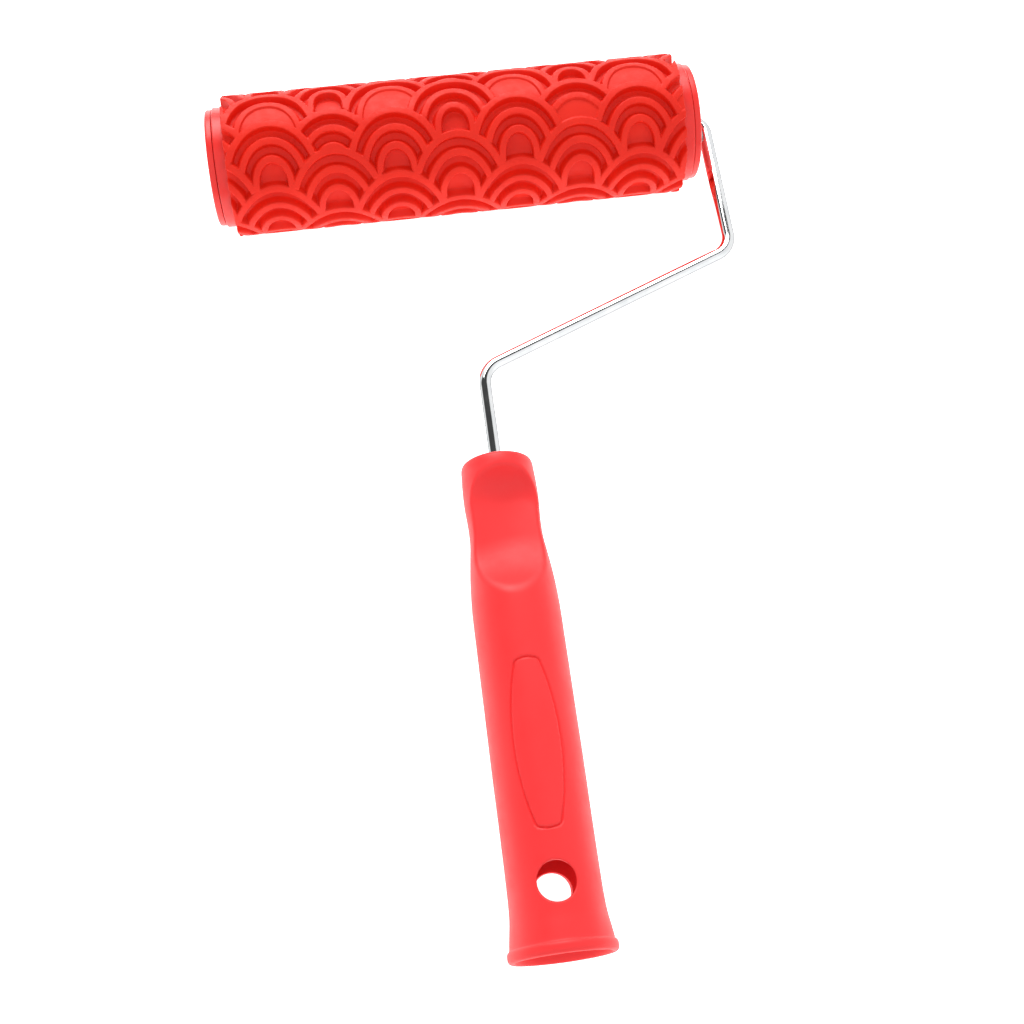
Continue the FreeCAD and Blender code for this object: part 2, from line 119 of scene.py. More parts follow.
def triangulate(lines, points, keep):
    """Constrained Delaunay triangles of polylines and loose points; keep(centres) says which faces stay."""
    verts, edges = [], []
    for line in lines:
        first = len(verts)
        verts.extend(Vector((float(a), float(b))) for a, b in line)
        edges.extend((i, i + 1) for i in range(first, len(verts) - 1))
    verts.extend(Vector((float(a), float(b))) for a, b in points)
    flat, _, faces, *_ = delaunay_2d_cdt(verts, edges, [], 0, 1e-5, False)
    flat = np.array([tuple(v) for v in flat])
    faces = np.array([tuple(f) for f in faces])
    centres = flat[faces].mean(axis=1)
    return flat, faces[keep(centres)]


def ring_faces(rings, sides, closed=True):
    """Quads between successive rings of vertices."""
    faces = []
    for ring in range(rings - 1):
        for side in range(sides if closed else sides - 1):
            after = (side + 1) % sides
            faces.append((ring * sides + side, ring * sides + after,
                          (ring + 1) * sides + after, (ring + 1) * sides + side))
    return faces


def round_corners(corners, radii, steps=5):
    """Closed outline whose corners are replaced by arcs, as a list of (along, radius) points."""
    corners = [np.array(c, float) for c in corners]
    outline = []
    for index, (corner, radius) in enumerate(zip(corners, radii)):
        before = corners[index - 1] - corner
        after = corners[(index + 1) % len(corners)] - corner
        reach = min(np.linalg.norm(before), np.linalg.norm(after)) / 2.05
        before /= np.linalg.norm(before)
        after /= np.linalg.norm(after)
        half = math.acos(np.clip(before @ after, -1, 1)) / 2
        if radius <= 0 or abs(half - math.pi / 2) < 0.02:
            outline.append(corner)
            continue
        setback = min(radius / math.tan(half), reach)
        radius = setback * math.tan(half)
        middle = (before + after) / np.linalg.norm(before + after)
        centre = corner + middle * radius / math.sin(half)
        start, end = corner + before * setback - centre, corner + after * setback - centre
        turn = math.pi - 2 * half
        for step in range(steps + 1):
            share = step / steps
            blend = (math.sin((1 - share) * turn) * start + math.sin(share * turn) * end) / math.sin(turn)
            outline.append(centre + blend)
    return outline


def add_turned(name, outline, material, body, node, sides=144):
    """Closed outline of (x, radius) points turned about the roller's axis."""
    turns = np.arange(sides) * TAU / sides
    points = [(x, r * math.cos(t), r * math.sin(t)) for x, r in outline for t in turns]
    faces = ring_faces(len(outline), sides)
    last = (len(outline) - 1) * sides
    faces += [(last + s, last + (s + 1) % sides, (s + 1) % sides, s) for s in range(sides)]
    add_mesh(name, points, faces, material, body, node)


# ---------------------------------------------------------------- materials

class Paint:
    """Short names for building one node material around a Principled shader."""

    def __init__(self, name, color, **constants):
        self.material = bpy.data.materials.new(name)
        self.material.use_nodes = True
        self.tree = self.material.node_tree
        self.shader = next(n for n in self.tree.nodes if n.type == "BSDF_PRINCIPLED")
        self.shader.inputs["Base Color"].default_value = (*color, 1)
        for label, value in constants.items():
            self.shader.inputs[label.replace("_", " ")].default_value = value
        self.place = self.node("ShaderNodeTexCoord").outputs["Object"]

    def node(self, kind, inputs=None, **settings):
        made = self.tree.nodes.new(kind)
        for label, value in settings.items():
            setattr(made, label, value)
        for label, value in (inputs or {}).items():
            socket = made.inputs[label]
            if isinstance(value, bpy.types.NodeSocket):
                self.tree.links.new(value, socket)
            else:
                socket.default_value = value
        return made

    def noise(self, scale, detail=3.0, roughness=0.55, stretch=None):
        place = self.place
        if stretch:
            place = self.node("ShaderNodeMapping", {"Vector": place, "Scale": stretch}).outputs["Vector"]
        return self.node("ShaderNodeTexNoise", {"Vector": place, "Scale": scale, "Detail": detail,
                                                "Roughness": roughness}).outputs["Fac"]

    def ranged(self, value, low, high, to_low, to_high):
        return self.node("ShaderNodeMapRange", {"Value": value, "From Min": low, "From Max": high,
                                                "To Min": to_low, "To Max": to_high}).outputs["Result"]

    def mixed(self, factor, first, second):
        made = self.node("ShaderNodeMix", data_type="RGBA")
        for label, value in ((0, factor), (6, first), (7, second)):
            socket = made.inputs[label]
            if isinstance(value, bpy.types.NodeSocket):
                self.tree.links.new(value, socket)
            else:
                socket.default_value = value if label == 0 else (*value, 1)
        return made.outputs[2]

    def math(self, operation, first, second):
        return self.node("ShaderNodeMath", {0: first, 1: second}, operation=operation).outputs[0]

    def color(self, value):
        self.tree.links.new(value, self.shader.inputs["Base Color"])

    def roughness(self, value):
        self.tree.links.new(value, self.shader.inputs["Roughness"])

    def bump(self, height, distance, strength=1.0):
        made = self.node("ShaderNodeBump", {"Height": height, "Distance": distance, "Strength": strength})
        self.tree.links.new(made.outputs["Normal"], self.shader.inputs["Normal"])


def rubber():
    """Moulded red rubber: fine matt grain, slightly glossier worn patches on the tops."""
    paint = Paint("sleeve_rubber", (0.73, 0.015, 0.004), Specular_IOR_Level=0.25)
    cloud = paint.noise(90, 4)
    red = paint.mixed(paint.ranged(cloud, 0.3, 0.7, 0, 1), (0.69, 0.012, 0.003), (0.77, 0.018, 0.005))
    paint.color(red)
    smear = paint.noise(260, 3, 0.6)
    paint.roughness(paint.ranged(smear, 0.3, 0.7, 0.46, 0.60))
    grain = paint.noise(2600, 2, 0.6)
    pits = paint.noise(420, 3, 0.6)
    paint.bump(paint.math("ADD", grain, pits), 0.00005, 0.55)
    return paint.material


def moulded_plastic(name, low, high, rough, grain_height):
    """Red injection moulding: faint flow clouds, small gloss changes and a slight orange-peel surface."""
    paint = Paint(name, high, Specular_IOR_Level=0.5)
    cloud = paint.noise(30, 3)
    paint.color(paint.mixed(paint.ranged(cloud, 0.3, 0.7, 0, 1), low, high))
    handled = paint.noise(120, 4, 0.65)
    paint.roughness(paint.ranged(handled, 0.3, 0.7, rough[0], rough[1]))
    peel = paint.noise(700, 2, 0.5)
    scuff = paint.noise(500, 3, 0.7, (1.0, 0.12, 1.0))
    paint.bump(paint.math("ADD", peel, scuff), grain_height, 0.5)
    return paint.material


def chrome():
    """Bright chromed rod with faint lengthwise drawing marks under the plating and small cloudy smudges."""
    paint = Paint("frame_wire", (0.86, 0.875, 0.885), Metallic=1.0)
    smudge = paint.noise(160, 4, 0.6)
    silver = paint.mixed(paint.ranged(smudge, 0.35, 0.7, 0, 1), (0.80, 0.82, 0.835), (0.91, 0.92, 0.925))
    paint.color(silver)
    paint.roughness(paint.ranged(smudge, 0.35, 0.75, 0.045, 0.12))
    ripple = paint.noise(420, 2, 0.5)
    paint.bump(ripple, 0.00002, 0.35)
    return paint.material


def turned_steel():
    """Zinc plated spring steel with fine concentric marks and dull spots."""
    paint = Paint("spring_steel", (0.52, 0.53, 0.55), Metallic=1.0)
    spot = paint.noise(300, 4, 0.6)
    paint.color(paint.mixed(paint.ranged(spot, 0.35, 0.7, 0, 1), (0.46, 0.47, 0.48), (0.62, 0.63, 0.66)))
    paint.roughness(paint.ranged(spot, 0.3, 0.75, 0.24, 0.42))
    paint.bump(paint.noise(2200, 2, 0.5), 0.00002, 0.5)
    return paint.material


def nylon():
    """Natural nylon bearing: waxy off-white with faint mottling."""
    paint = Paint("bearing_plastic", (0.86, 0.84, 0.78), Specular_IOR_Level=0.5)
    mottle = paint.noise(400, 3, 0.5)
    paint.color(paint.mixed(paint.ranged(mottle, 0.3, 0.7, 0, 1), (0.80, 0.78, 0.71), (0.88, 0.86, 0.81)))
    paint.roughness(paint.ranged(mottle, 0.3, 0.7, 0.34, 0.48))
    paint.bump(paint.noise(1500, 2, 0.5), 0.00003, 0.4)
    return paint.material


RUBBER = rubber()
HANDLE_RED = moulded_plastic("handle_plastic", (0.84, 0.016, 0.018), (0.88, 0.022, 0.025),
                             rough=(0.46, 0.58), grain_height=0.000015)
CORE_RED = moulded_plastic("core_plastic", (0.72, 0.012, 0.008), (0.80, 0.018, 0.012),
                           rough=(0.30, 0.42), grain_height=0.00003)
CHROME = chrome()
STEEL = turned_steel()
NYLON = nylon()

# ---------------------------------------------------------------- rubber sleeve

SLEEVE_R = 25.0
RELIEF = 2.8
SLEEVE_END = 81.75
CORE_R = 21.25
COLUMN_PITCH = 21.77
FIRST_COLUMN = -0.5
ROW_ANGLE = 54.5
ROWS = 7
FIRST_APEX = 86.4
CENTRE_DEPTH = 23.0
# Ridges of one scallop, outermost first: semi-axes (half width, height) of the arch's outer and inner
# edges.
RIDGES = [((17.4, 23.0), (14.9, 20.4)), ((12.4, 16.5), (10.0, 13.9)), ((7.3, 10.0), (4.9, 7.4))]
REACH_BELOW_APEX = 44.0
AROUND = TAU * SLEEVE_R
# {column: {row: degrees}} by which a scallop stands off its regular place, as in a hand-cut mould.
APEX_SHIFTS = {
    -4: {0: 3.5, 1: 2.5, 6: 3.0}, -3: {0: 3.0, 1: 2.5}, -2: {0: 3.5, 1: 2.5, 6: 3.0}, -1: {0: 1.5, 6: -8.0},
    0: {0: -0.5, 1: 2.0, 6: -22.0}, 1: {0: -2.0, 1: -0.5, 6: -8.5}, 2: {0: -1.0, 1: 2.5, 6: -5.0},
    3: {0: -1.0, 1: 0.5, 6: -8.0}, 4: {0: -1.0, 1: 2.0, 6: -5.0},
}
# (column, row) of the scallops next to the seam that have a plateau in place of the third ridge.
TWO_RIDGE_SCALLOPS = {(-3, 6), (-1, 6), (1, 6), (2, 6), (3, 6), (4, 6)}
PLATEAU = 0.74
# Section of a ridge's edges: distance inside the edge, share of the relief's height. The outer side,
# towards the top of the arch, has more draft than the inner side.
OUTER_SIDE = np.array([(-1.15, 0.0), (-0.8, 0.08), (-0.42, 0.34), (-0.05, 0.78), (0.14, 0.94), (0.4, 1.0)])
INNER_SIDE = np.array([(-0.42, 0.0), (-0.26, 0.06), (-0.13, 0.2), (0.02, 0.84), (0.12, 0.95), (0.32, 1.0)])


def arc_of(degrees):
    return math.radians(degrees) * SLEEVE_R


def sleeve_scallops():
    """(x, distance round the sleeve, ridges) of every scallop, three turns of them, from back to front."""
    found = []
    for column in range(-4, 5):
        lag = 0 if column % 2 else ROW_ANGLE / 2
        for row in range(ROWS):
            shift = APEX_SHIFTS[column].get(row, 0.0)
            down = arc_of(FIRST_APEX + lag + row * ROW_ANGLE + shift) % AROUND
            ridges = 2 if (column, row) in TWO_RIDGE_SCALLOPS else 3
            x = FIRST_COLUMN + column * COLUMN_PITCH
            found += [(x, down + turn * AROUND, ridges) for turn in (-1, 0, 1)]
    return sorted(found, key=lambda scallop: scallop[1])


def inside_arch(dx, below_apex, semi):
    """Distance inside an arch's edge, negative outside. Below its middle an arch has straight legs."""
    half_width, height = semi
    rise = CENTRE_DEPTH - below_apex
    value = np.sqrt((dx / half_width) ** 2 + (rise / height) ** 2)
    slope = np.sqrt((dx / half_width ** 2) ** 2 + (rise / height ** 2) ** 2) / np.maximum(value, 1e-6)
    arch = (1 - value) / np.maximum(slope, 1e-6)
    return np.where(rise > 0, arch, half_width - np.abs(dx))


def edge_height(inside, side):
    return np.interp(inside, side[:, 0], side[:, 1])


def relief_height(places):
    """Height of the relief, 0 to 1, at (x, distance round) points: arches drawn from back to front."""
    x, down = places[:, 0], places[:, 1]
    height = np.zeros(len(places))
    for apex_x, apex_down, ridges in sleeve_scallops():
        below_all = down - apex_down
        beside = np.abs(x - apex_x) < RIDGES[0][0][0] + 1.3
        near = np.flatnonzero(beside & (below_all > -1.3) & (below_all < REACH_BELOW_APEX))
        if not len(near):
            continue
        dx, below = x[near] - apex_x, below_all[near]
        own = np.zeros(len(near))
        for outer, inner in RIDGES[:ridges]:
            ridge = np.minimum(edge_height(inside_arch(dx, below, outer), OUTER_SIDE),
                               edge_height(-inside_arch(dx, below, inner), INNER_SIDE))
            own = np.maximum(own, ridge)
        if ridges == 2:
            plateau = PLATEAU * edge_height(inside_arch(dx, below, RIDGES[1][0]), OUTER_SIDE)
            own = np.maximum(own, plateau)
        depth = inside_arch(dx, below, RIDGES[0][0])
        behind = np.maximum(edge_height(depth, OUTER_SIDE), height[near])
        height[near] = np.where(depth > OUTER_SIDE[-1, 0], own, behind)
    return height


def relief_lines():
    """Edge lines of every visible ridge, at each break of the edge section."""
    scallops = sleeve_scallops()
    legs = np.array([2.0, 4.0, 6.5, 9.0, 12.0])
    lines = []
    for apex_x, apex_down, ridges in scallops:
        if not -48 < apex_down < AROUND + 2:
            continue
        front = [(x, down) for x, down, _ in scallops
                 if 0.1 < down - apex_down < REACH_BELOW_APEX
                 and abs(x - apex_x) < 2 * RIDGES[0][0][0] + 0.2]
        edges = [edge for outer, inner in RIDGES[:ridges]
                 for edge in ((outer, 1, OUTER_SIDE), (inner, -1, INNER_SIDE))]
        for semi, sign, section in edges:
            for inset, _ in section:
                half_width, height = semi[0] - sign * inset, semi[1] - sign * inset
                turns = np.linspace(-math.pi / 2, math.pi / 2, max(17, int(height * 2.1)))
                arch = half_width * np.sin(turns)
                middle = apex_down + CENTRE_DEPTH
                xs = apex_x + np.concatenate([np.full(5, arch[0]), arch, np.full(5, arch[-1])])
                downs = middle + np.concatenate([legs[::-1], -height * np.cos(turns), legs])
                shown = (np.abs(xs) < SLEEVE_END + 2) & (downs > -2) & (downs < AROUND + 2)
                for other_x, other_down in front:
                    covered = inside_arch(xs - other_x, downs - other_down, RIDGES[0][0]) > 0.5
                    shown &= ~(covered & (downs > other_down - 1))
                run = []
                for place in zip(xs, downs, shown):
                    if place[2]:
                        run.append(place[:2])
                        continue
                    lines.append(run)
                    run = []
                lines.append(run)
    return [line for line in lines if len(line) > 1]


def round_the_roller(x, down, radius):
    turn = down / SLEEVE_R
    return np.stack([x, radius * np.cos(turn), radius * np.sin(turn)], axis=1)


def make_sleeve():
    """Skin with the relief, end rings and bore. The loose points between the ridges stand in wavy rows."""
    ends = (-SLEEVE_END, SLEEVE_END)
    rounding = ((0.0, 0.35), (0.12, 0.10), (0.35, 0.0))
    borders = [[(x, down) for down in np.linspace(0, AROUND, 145)] for x in ends]
    borders += [[(x, down) for x in np.linspace(*ends, 90)] for down in (0, AROUND)]
    for inset, _ in rounding[1:]:
        borders += [[(side * (SLEEVE_END - inset), down) for down in np.linspace(0, AROUND, 145)]
                    for side in (-1, 1)]
    gx, gd = np.meshgrid(np.arange(-SLEEVE_END + 1.2, SLEEVE_END - 0.8, 2.0),
                         np.arange(1.0, AROUND - 0.6, 1.7))
    loose = np.stack([gx.ravel() + 0.6 * np.sin(gd.ravel() * 7.1), gd.ravel()], axis=1)

    def within(centres):
        return (np.abs(centres[:, 0]) < SLEEVE_END) & (centres[:, 1] > 0) & (centres[:, 1] < AROUND)

    flat, faces = triangulate(borders + relief_lines(), loose, within)
    height = relief_height(flat)
    radius = SLEEVE_R - RELIEF * (1 - height)
    from_end = SLEEVE_END - np.abs(flat[:, 0])
    radius -= np.interp(from_end, [inset for inset, _ in rounding], [drop for _, drop in rounding])
    skin = round_the_roller(flat[:, 0], flat[:, 1], radius)
    points, all_faces = [skin], [faces]
    count = len(skin)
    # The end rings and the bore go through the same corners as the skin's two ends.
    used = np.unique(faces)
    bore_lines = []
    for x in ends:
        rim = used[np.abs(flat[used, 0] - x) < 1e-4]
        rim = rim[np.argsort(flat[rim, 1])]
        inner = round_the_roller(flat[rim, 0], flat[rim, 1], np.full(len(rim), CORE_R))
        points.append(inner)
        order = np.arange(len(rim) - 1)
        all_faces.append(np.stack([rim[order], rim[order + 1], count + order + 1], axis=1))
        all_faces.append(np.stack([rim[order], count + order + 1, count + order], axis=1))
        count += len(rim)
        bore_lines.append([(x, down) for down in flat[rim, 1]])
    for down in (0, AROUND):
        bore_lines.append([(ends[0], down), (ends[1], down)])
    bore, bore_faces = triangulate(bore_lines, [], within)
    points.append(round_the_roller(bore[:, 0], bore[:, 1], np.full(len(bore), CORE_R)))
    all_faces.append(bore_faces + count)
    add_mesh("sleeve_with_scallop_relief", np.concatenate(points), np.concatenate(all_faces), RUBBER,
             "roller", "pattern_sleeve")


# ---------------------------------------------------------------- core, caps, bushes, washers, lock nut

CORE_END = 85.5
CORE_BORE = 18.8
CAP_FACE = 88.2
CAP_R = 20.6
BUSH_SEAT = CAP_FACE - 4.2
WASHER_SEAT = BUSH_SEAT + 1.2 + 0.12
WASHER_R = 6.6
NUT_SEAT = WASHER_SEAT + 0.8 + 0.12


def make_core():
    outline = round_corners([(-CORE_END, CORE_BORE), (CORE_END, CORE_BORE),
                             (CORE_END, CORE_R), (-CORE_END, CORE_R)], [0.3, 0.3, 0.5, 0.5])
    add_turned("core_tube_moulding", outline, CORE_RED, "roller", "core_tube", 180)


def make_roller_end(label, side):
    """Cap, bearing bush and thrust washer of one end; side is 1 where the wire leaves the roller."""
    def turned(name, corners, radii, material, body, node, sides=128):
        outline = round_corners([(side * x, r) for x, r in corners], radii)
        add_turned(name, outline, material, body, node, sides)

    face, back = CAP_FACE, CORE_END + 0.2
    skirt = CORE_END - 14
    web = BUSH_SEAT - 2.4
    hub = BUSH_SEAT - 13.0
    turned(f"cap_{label}", [
        (BUSH_SEAT, 5.5), (BUSH_SEAT, 7.9), (face - 0.05, 8.6), (face, 12.0), (face - 0.25, 17.5),
        (face - 0.1, CAP_R), (back, CAP_R), (back, CORE_BORE), (skirt, CORE_BORE), (skirt, CORE_BORE - 2),
        (web, CORE_BORE - 2), (web, 9.0), (hub, 9.0), (hub, 5.5)],
        [0.1, 0.4, 0.6, 1.0, 1.0, 0.85, 0.25, 0.2, 0.4, 0.4, 0.8, 0.8, 0.4, 0.2],
        CORE_RED, "roller", f"end_cap_{label}")
    turned(f"bush_{label}", [
        (BUSH_SEAT + 1.2, 2.81), (BUSH_SEAT + 1.2, 7.2), (BUSH_SEAT, 7.2),
        (BUSH_SEAT, 5.5), (hub, 5.5), (hub, 2.81)],
        [0.15, 0.3, 0.1, 0.1, 0.3, 0.2], NYLON, "roller", f"bearing_bush_{label}", 72)
    turned(f"washer_{label}", [
        (WASHER_SEAT, 2.95), (WASHER_SEAT + 0.8, 2.95),
        (WASHER_SEAT + 0.8, WASHER_R), (WASHER_SEAT, WASHER_R)],
        [0.08, 0.08, 0.15, 0.1], STEEL, f"{label}_washer", f"thrust_washer_{label}", 72)


def make_lock_nut():
    seat = -NUT_SEAT
    outline = round_corners([(seat, 2.75), (seat, 6.0), (seat - 0.6, 6.0), (seat - 0.6, 3.6),
                             (seat - 1.6, 3.6), (seat - 1.6, 2.75)], [0, 0.15, 0.25, 0.5, 0.3, 0])
    add_turned("push_on_lock_nut", outline, STEEL, "frame", "axle_lock_nut", 72)


# ---------------------------------------------------------------- wire frame

WIRE_R = 2.75
AXLE_END = 88.0
EAR_X = WASHER_SEAT + 0.8 + 0.12
HANDLE_TOP = np.array([-1.85, -128.3])
LEAN = math.radians(0.5)
DOWN_HANDLE = np.array([-math.sin(LEAN), -math.cos(LEAN)])


def wire_route():
    """Points and directions along the middle of the bent rod: straight runs joined by tangent arcs."""
    corners = [np.array(c, float) for c in ((-AXLE_END, 0), (93.0, 0), (93.0, -56.1))]
    corners += [HANDLE_TOP + DOWN_HANDLE * along for along in (-34.9, 46.0)]
    radii = (6.5, 8.5, 9.0)
    route = [corners[0] + (0.01, 0)]
    for before, corner, after, radius in zip(corners, corners[1:], corners[2:], radii):
        inward = (before - corner) / np.linalg.norm(before - corner)
        onward = (after - corner) / np.linalg.norm(after - corner)
        half = math.acos(inward @ onward) / 2
        setback = radius / math.tan(half)
        centre = corner + (inward + onward) / np.linalg.norm(inward + onward) * radius / math.sin(half)
        start, end = corner + inward * setback - centre, corner + onward * setback - centre
        turn = math.pi - 2 * half
        straight = corner + inward * setback - route[-1]
        pieces = max(2, int(np.linalg.norm(straight) / 4))
        route += [route[-1] + straight * k / pieces for k in range(1, pieces)]
        steps = 28
        for step in range(steps + 1):
            share = step / steps
            route.append(centre + (math.sin((1 - share) * turn) * start + math.sin(share * turn) * end)
                         / math.sin(turn))
    straight = corners[-1] - route[-1]
    route += [route[-1] + straight * k / 20 for k in range(1, 21)]
    ear_rings = [np.array([x, 0.0]) for x in np.linspace(EAR_X - 0.05, EAR_X + 1.65, 9)]
    head = [p for p in route if abs(p[1]) < 1e-6 and p[0] < EAR_X - 0.4]
    tail = [p for p in route if not (abs(p[1]) < 1e-6 and p[0] < EAR_X + 1.8)]
    return np.array(head + ear_rings + tail)


def make_wire():
    """Round rod along the route, pressed into two flat ears beside the thrust washer."""
    route = wire_route()
    ahead = np.gradient(route, axis=0)
    ahead /= np.linalg.norm(ahead, axis=1)[:, None]
    sides = 64
    turns = np.arange(sides) * TAU / sides
    ear_reach, ear_half_thickness = 4.85, 0.8
    wing = np.minimum(ear_reach / np.maximum(np.abs(np.cos(turns)), 1e-6),
                      ear_half_thickness / np.maximum(np.abs(np.sin(turns)), 1e-6))

    def ring(place, way, radius):
        across = radius * np.cos(turns)
        return np.stack([place[0] - way[1] * across, place[1] + way[0] * across,
                         radius * np.sin(turns)], axis=1)

    rings = []
    for place, way in zip(route, ahead):
        pressed = 0.0
        if abs(place[1]) < 1e-6:
            ear_slopes = [EAR_X, EAR_X + 0.12, EAR_X + 1.45, EAR_X + 1.6]
            pressed = np.interp(place[0], ear_slopes, [0, 1, 1, 0])
        rings.append(ring(place, way, WIRE_R + (np.maximum(wing, WIRE_R) - WIRE_R) * pressed))
    end_section = ((0.0, 0.02), (0.0, 1.4), (0.0, 2.45), (0.09, 2.66), (0.3, WIRE_R))
    start = [ring(route[0] + ahead[0] * step, ahead[0], r) for step, r in end_section]
    finish = [ring(route[-1] - ahead[-1] * step, ahead[-1], r) for step, r in end_section[::-1]]
    rings = start + rings[1:-1] + finish
    add_mesh("bent_wire_frame", np.concatenate(rings), ring_faces(len(rings), sides), CHROME, "frame",
             "wire_frame")


# ---------------------------------------------------------------- handle

HOLE_AT = 141.0
HOLE_R = 6.1
HOLE_EDGE = 0.55
INNER_HOLE_EDGE = 0.4
# Outside of the handle: distance from its top, radius.
GRIP = np.array([
    (0.0, 3.4), (0.05, 6.0), (0.15, 8.5), (0.35, 10.2), (0.8, 11.3), (1.5, 11.85), (2.6, 12.1), (4.6, 12.2),
    (7, 12.35), (10, 12.45), (16, 12.45), (20, 12.2), (25, 12.05), (29, 12.2), (34, 12.8), (41, 13.6),
    (50, 14.2), (64, 14.35), (85, 14.42), (103, 14.5), (125, 14.45), (137, 14.5), (145, 14.62), (150, 14.9),
    (154, 15.48), (156.6, 15.85), (157.8, 16.0)])
# The rolled lip, the mouth and the socket inside, from the lip inwards.
MOUTH = [
    (157.8, 16.0), (158.15, 16.12), (158.4, 16.35), (158.65, 16.62), (159.1, 16.82), (159.7, 16.9),
    (160.5, 16.88), (161.2, 16.72), (161.65, 16.42), (161.86, 16.02), (161.9, 15.6), (161.86, 15.2),
    (161.65, 14.86), (161.2, 14.62), (160.4, 14.42), (157.0, 13.6), (153.5, 12.85), (151.0, 12.52)]
SOCKET_TIP = [
    (70.0, 12.28), (68.6, 12.2), (68.0, 11.95), (67.3, 11.3), (62.9, 5.9), (62.3, 5.2), (62.0, 4.6),
    (62.0, 0.05)]
TANG_BORE = [(46.0, 0.05), (46.0, 2.6), (45.6, 2.78), (1.2, 2.78), (0.55, 2.85), (0.12, 3.1), (0.0, 3.4)]


def grip_radius(along):
    """Smooth curve through the outside's stations."""
    s, r = GRIP[:, 0], GRIP[:, 1]
    slope = np.gradient(r, s)
    index = np.clip(np.searchsorted(s, along) - 1, 0, len(s) - 2)
    gap = s[index + 1] - s[index]
    t = (along - s[index]) / gap
    return ((2 * t ** 3 - 3 * t ** 2 + 1) * r[index]
            + (t ** 3 - 2 * t ** 2 + t) * gap * slope[index]
            + (-2 * t ** 3 + 3 * t ** 2) * r[index + 1]
            + (t ** 3 - t ** 2) * gap * slope[index + 1])


def soft_max(a, b, width):
    overlap = np.maximum(width - np.abs(a - b), 0) / width
    return np.maximum(a, b) + overlap ** 2 * width / 4


SCOOP_FLOOR = 4.6
SCOOP_TOP, SCOOP_FOOT = 5.6, 17.0
SCOOP_DEPTH = 7.7
SCOOP_RAMP = math.tan(math.radians(36.5))
RAMP_START = 36.3


def scoop_floor(across, along):
    """Height of the thumb scoop's floor above the handle's axis: hollow top wall, dished floor, ramp."""
    fade = np.interp(along, [12.0, 37.0], [1.0, 0.0])
    floor = SCOOP_FLOOR + across ** 2 / 120 - 0.166 * fade * across
    ramp = SCOOP_FLOOR + (along - RAMP_START) * SCOOP_RAMP
    corner = 0.10 * np.maximum(np.abs(across) - 6, 0) ** 2
    share = np.maximum(1 - (along - corner - SCOOP_TOP) / (SCOOP_FOOT - SCOOP_TOP), 0)
    return soft_max(floor, ramp, 6.0) + SCOOP_DEPTH * share ** 2.6


def handle_radius(turn, along):
    """Distance of the handle's skin from its axis: the grip less the thumb scoop, with a rounded edge."""
    grip = grip_radius(along)
    low, high = np.zeros_like(along), grip + 0.5
    reach = grip * np.cos(turn)
    slope = (scoop_floor(reach, along + 0.05) - scoop_floor(reach, along - 0.05)) / 0.1
    upright = 1 / np.sqrt(1 + slope ** 2)
    for _ in range(30):
        middle = (low + high) / 2
        above_floor = (middle * np.sin(turn) - scoop_floor(middle * np.cos(turn), along)) * upright
        outside = soft_max(middle - grip, above_floor, 1.3) > 0
        high = np.where(outside, middle, high)
        low = np.where(outside, low, middle)
    return (low + high) / 2


def boat_outline():
    """Long engraved outline on the grip's front: (sideways distance, distance from the top), closed."""
    middle, half_length, corner = 98.85, 24.0, 2.3
    along = np.linspace(0, half_length, 33)
    side = np.stack([3.6 + 4.2 * (1 - (along / 26.0) ** 2) ** 0.9, along], axis=1)
    turns = np.linspace(0, math.pi / 2, 8)[1:]
    bend = side[-1] + corner * np.stack([np.cos(turns) - 1, np.sin(turns)], axis=1)
    tip = [(x, half_length + corner + 0.3 * (1 - (x / 1.9) ** 2)) for x in (1.3, 0.7, 0.0)]
    quarter = np.concatenate([side, bend, tip])
    return (0.0, middle) + np.concatenate([quarter, quarter[-2::-1] * (-1, 1), quarter[1:] * (-1, -1),
                                           quarter[-2:0:-1] * (1, -1)])


GROOVE_HALF = 0.44
GROOVE_DEPTH = 0.6


def groove_depth(sideways, along, outline):
    depth = np.zeros(len(along))
    near = np.flatnonzero((np.abs(sideways) < 9) & (along > 72) & (along < 131.2))
    if not len(near):
        return depth
    here = np.stack([sideways[near], along[near]], axis=1)
    start, end = outline, np.roll(outline, -1, axis=0)
    run = end - start
    t = ((here[:, None] - start[None]) * run[None]).sum(2) / np.maximum((run ** 2).sum(1), 1e-9)[None]
    t = np.clip(t, 0, 1)
    gap = np.linalg.norm(here[:, None] - (start[None] + t[..., None] * run[None]), axis=2).min(axis=1)
    depth[near] = GROOVE_DEPTH * np.clip(1 - (gap / GROOVE_HALF) ** 2, 0, 1)
    return depth


def hole_line(radius_at, inset, front, count=96):
    """Line round the hanging hole, as (turn, along) on a skin, the inset outside the hole's edge."""
    angle = np.arange(count + 1) * TAU / count
    across = (HOLE_R + inset) * np.cos(angle)
    along = HOLE_AT + (HOLE_R + inset) * np.sin(angle)
    middle = math.pi / 2 if front else 3 * math.pi / 2
    lean = np.arcsin(np.clip(across / radius_at(along), -1, 1))
    return np.stack([middle - lean if front else middle + lean, along], axis=1)


def from_hole(turn, along, radius):
    """Distance from the hanging hole's edge, for points on either wall."""
    return np.hypot(radius * np.cos(turn), along - HOLE_AT) - HOLE_R


def handle_points(turn, along, radius):
    across = radius * np.cos(turn)
    x = HANDLE_TOP[0] - across * DOWN_HANDLE[1] + along * DOWN_HANDLE[0]
    y = HANDLE_TOP[1] + across * DOWN_HANDLE[0] + along * DOWN_HANDLE[1]
    return np.stack([x, y, radius * np.sin(turn)], axis=1)


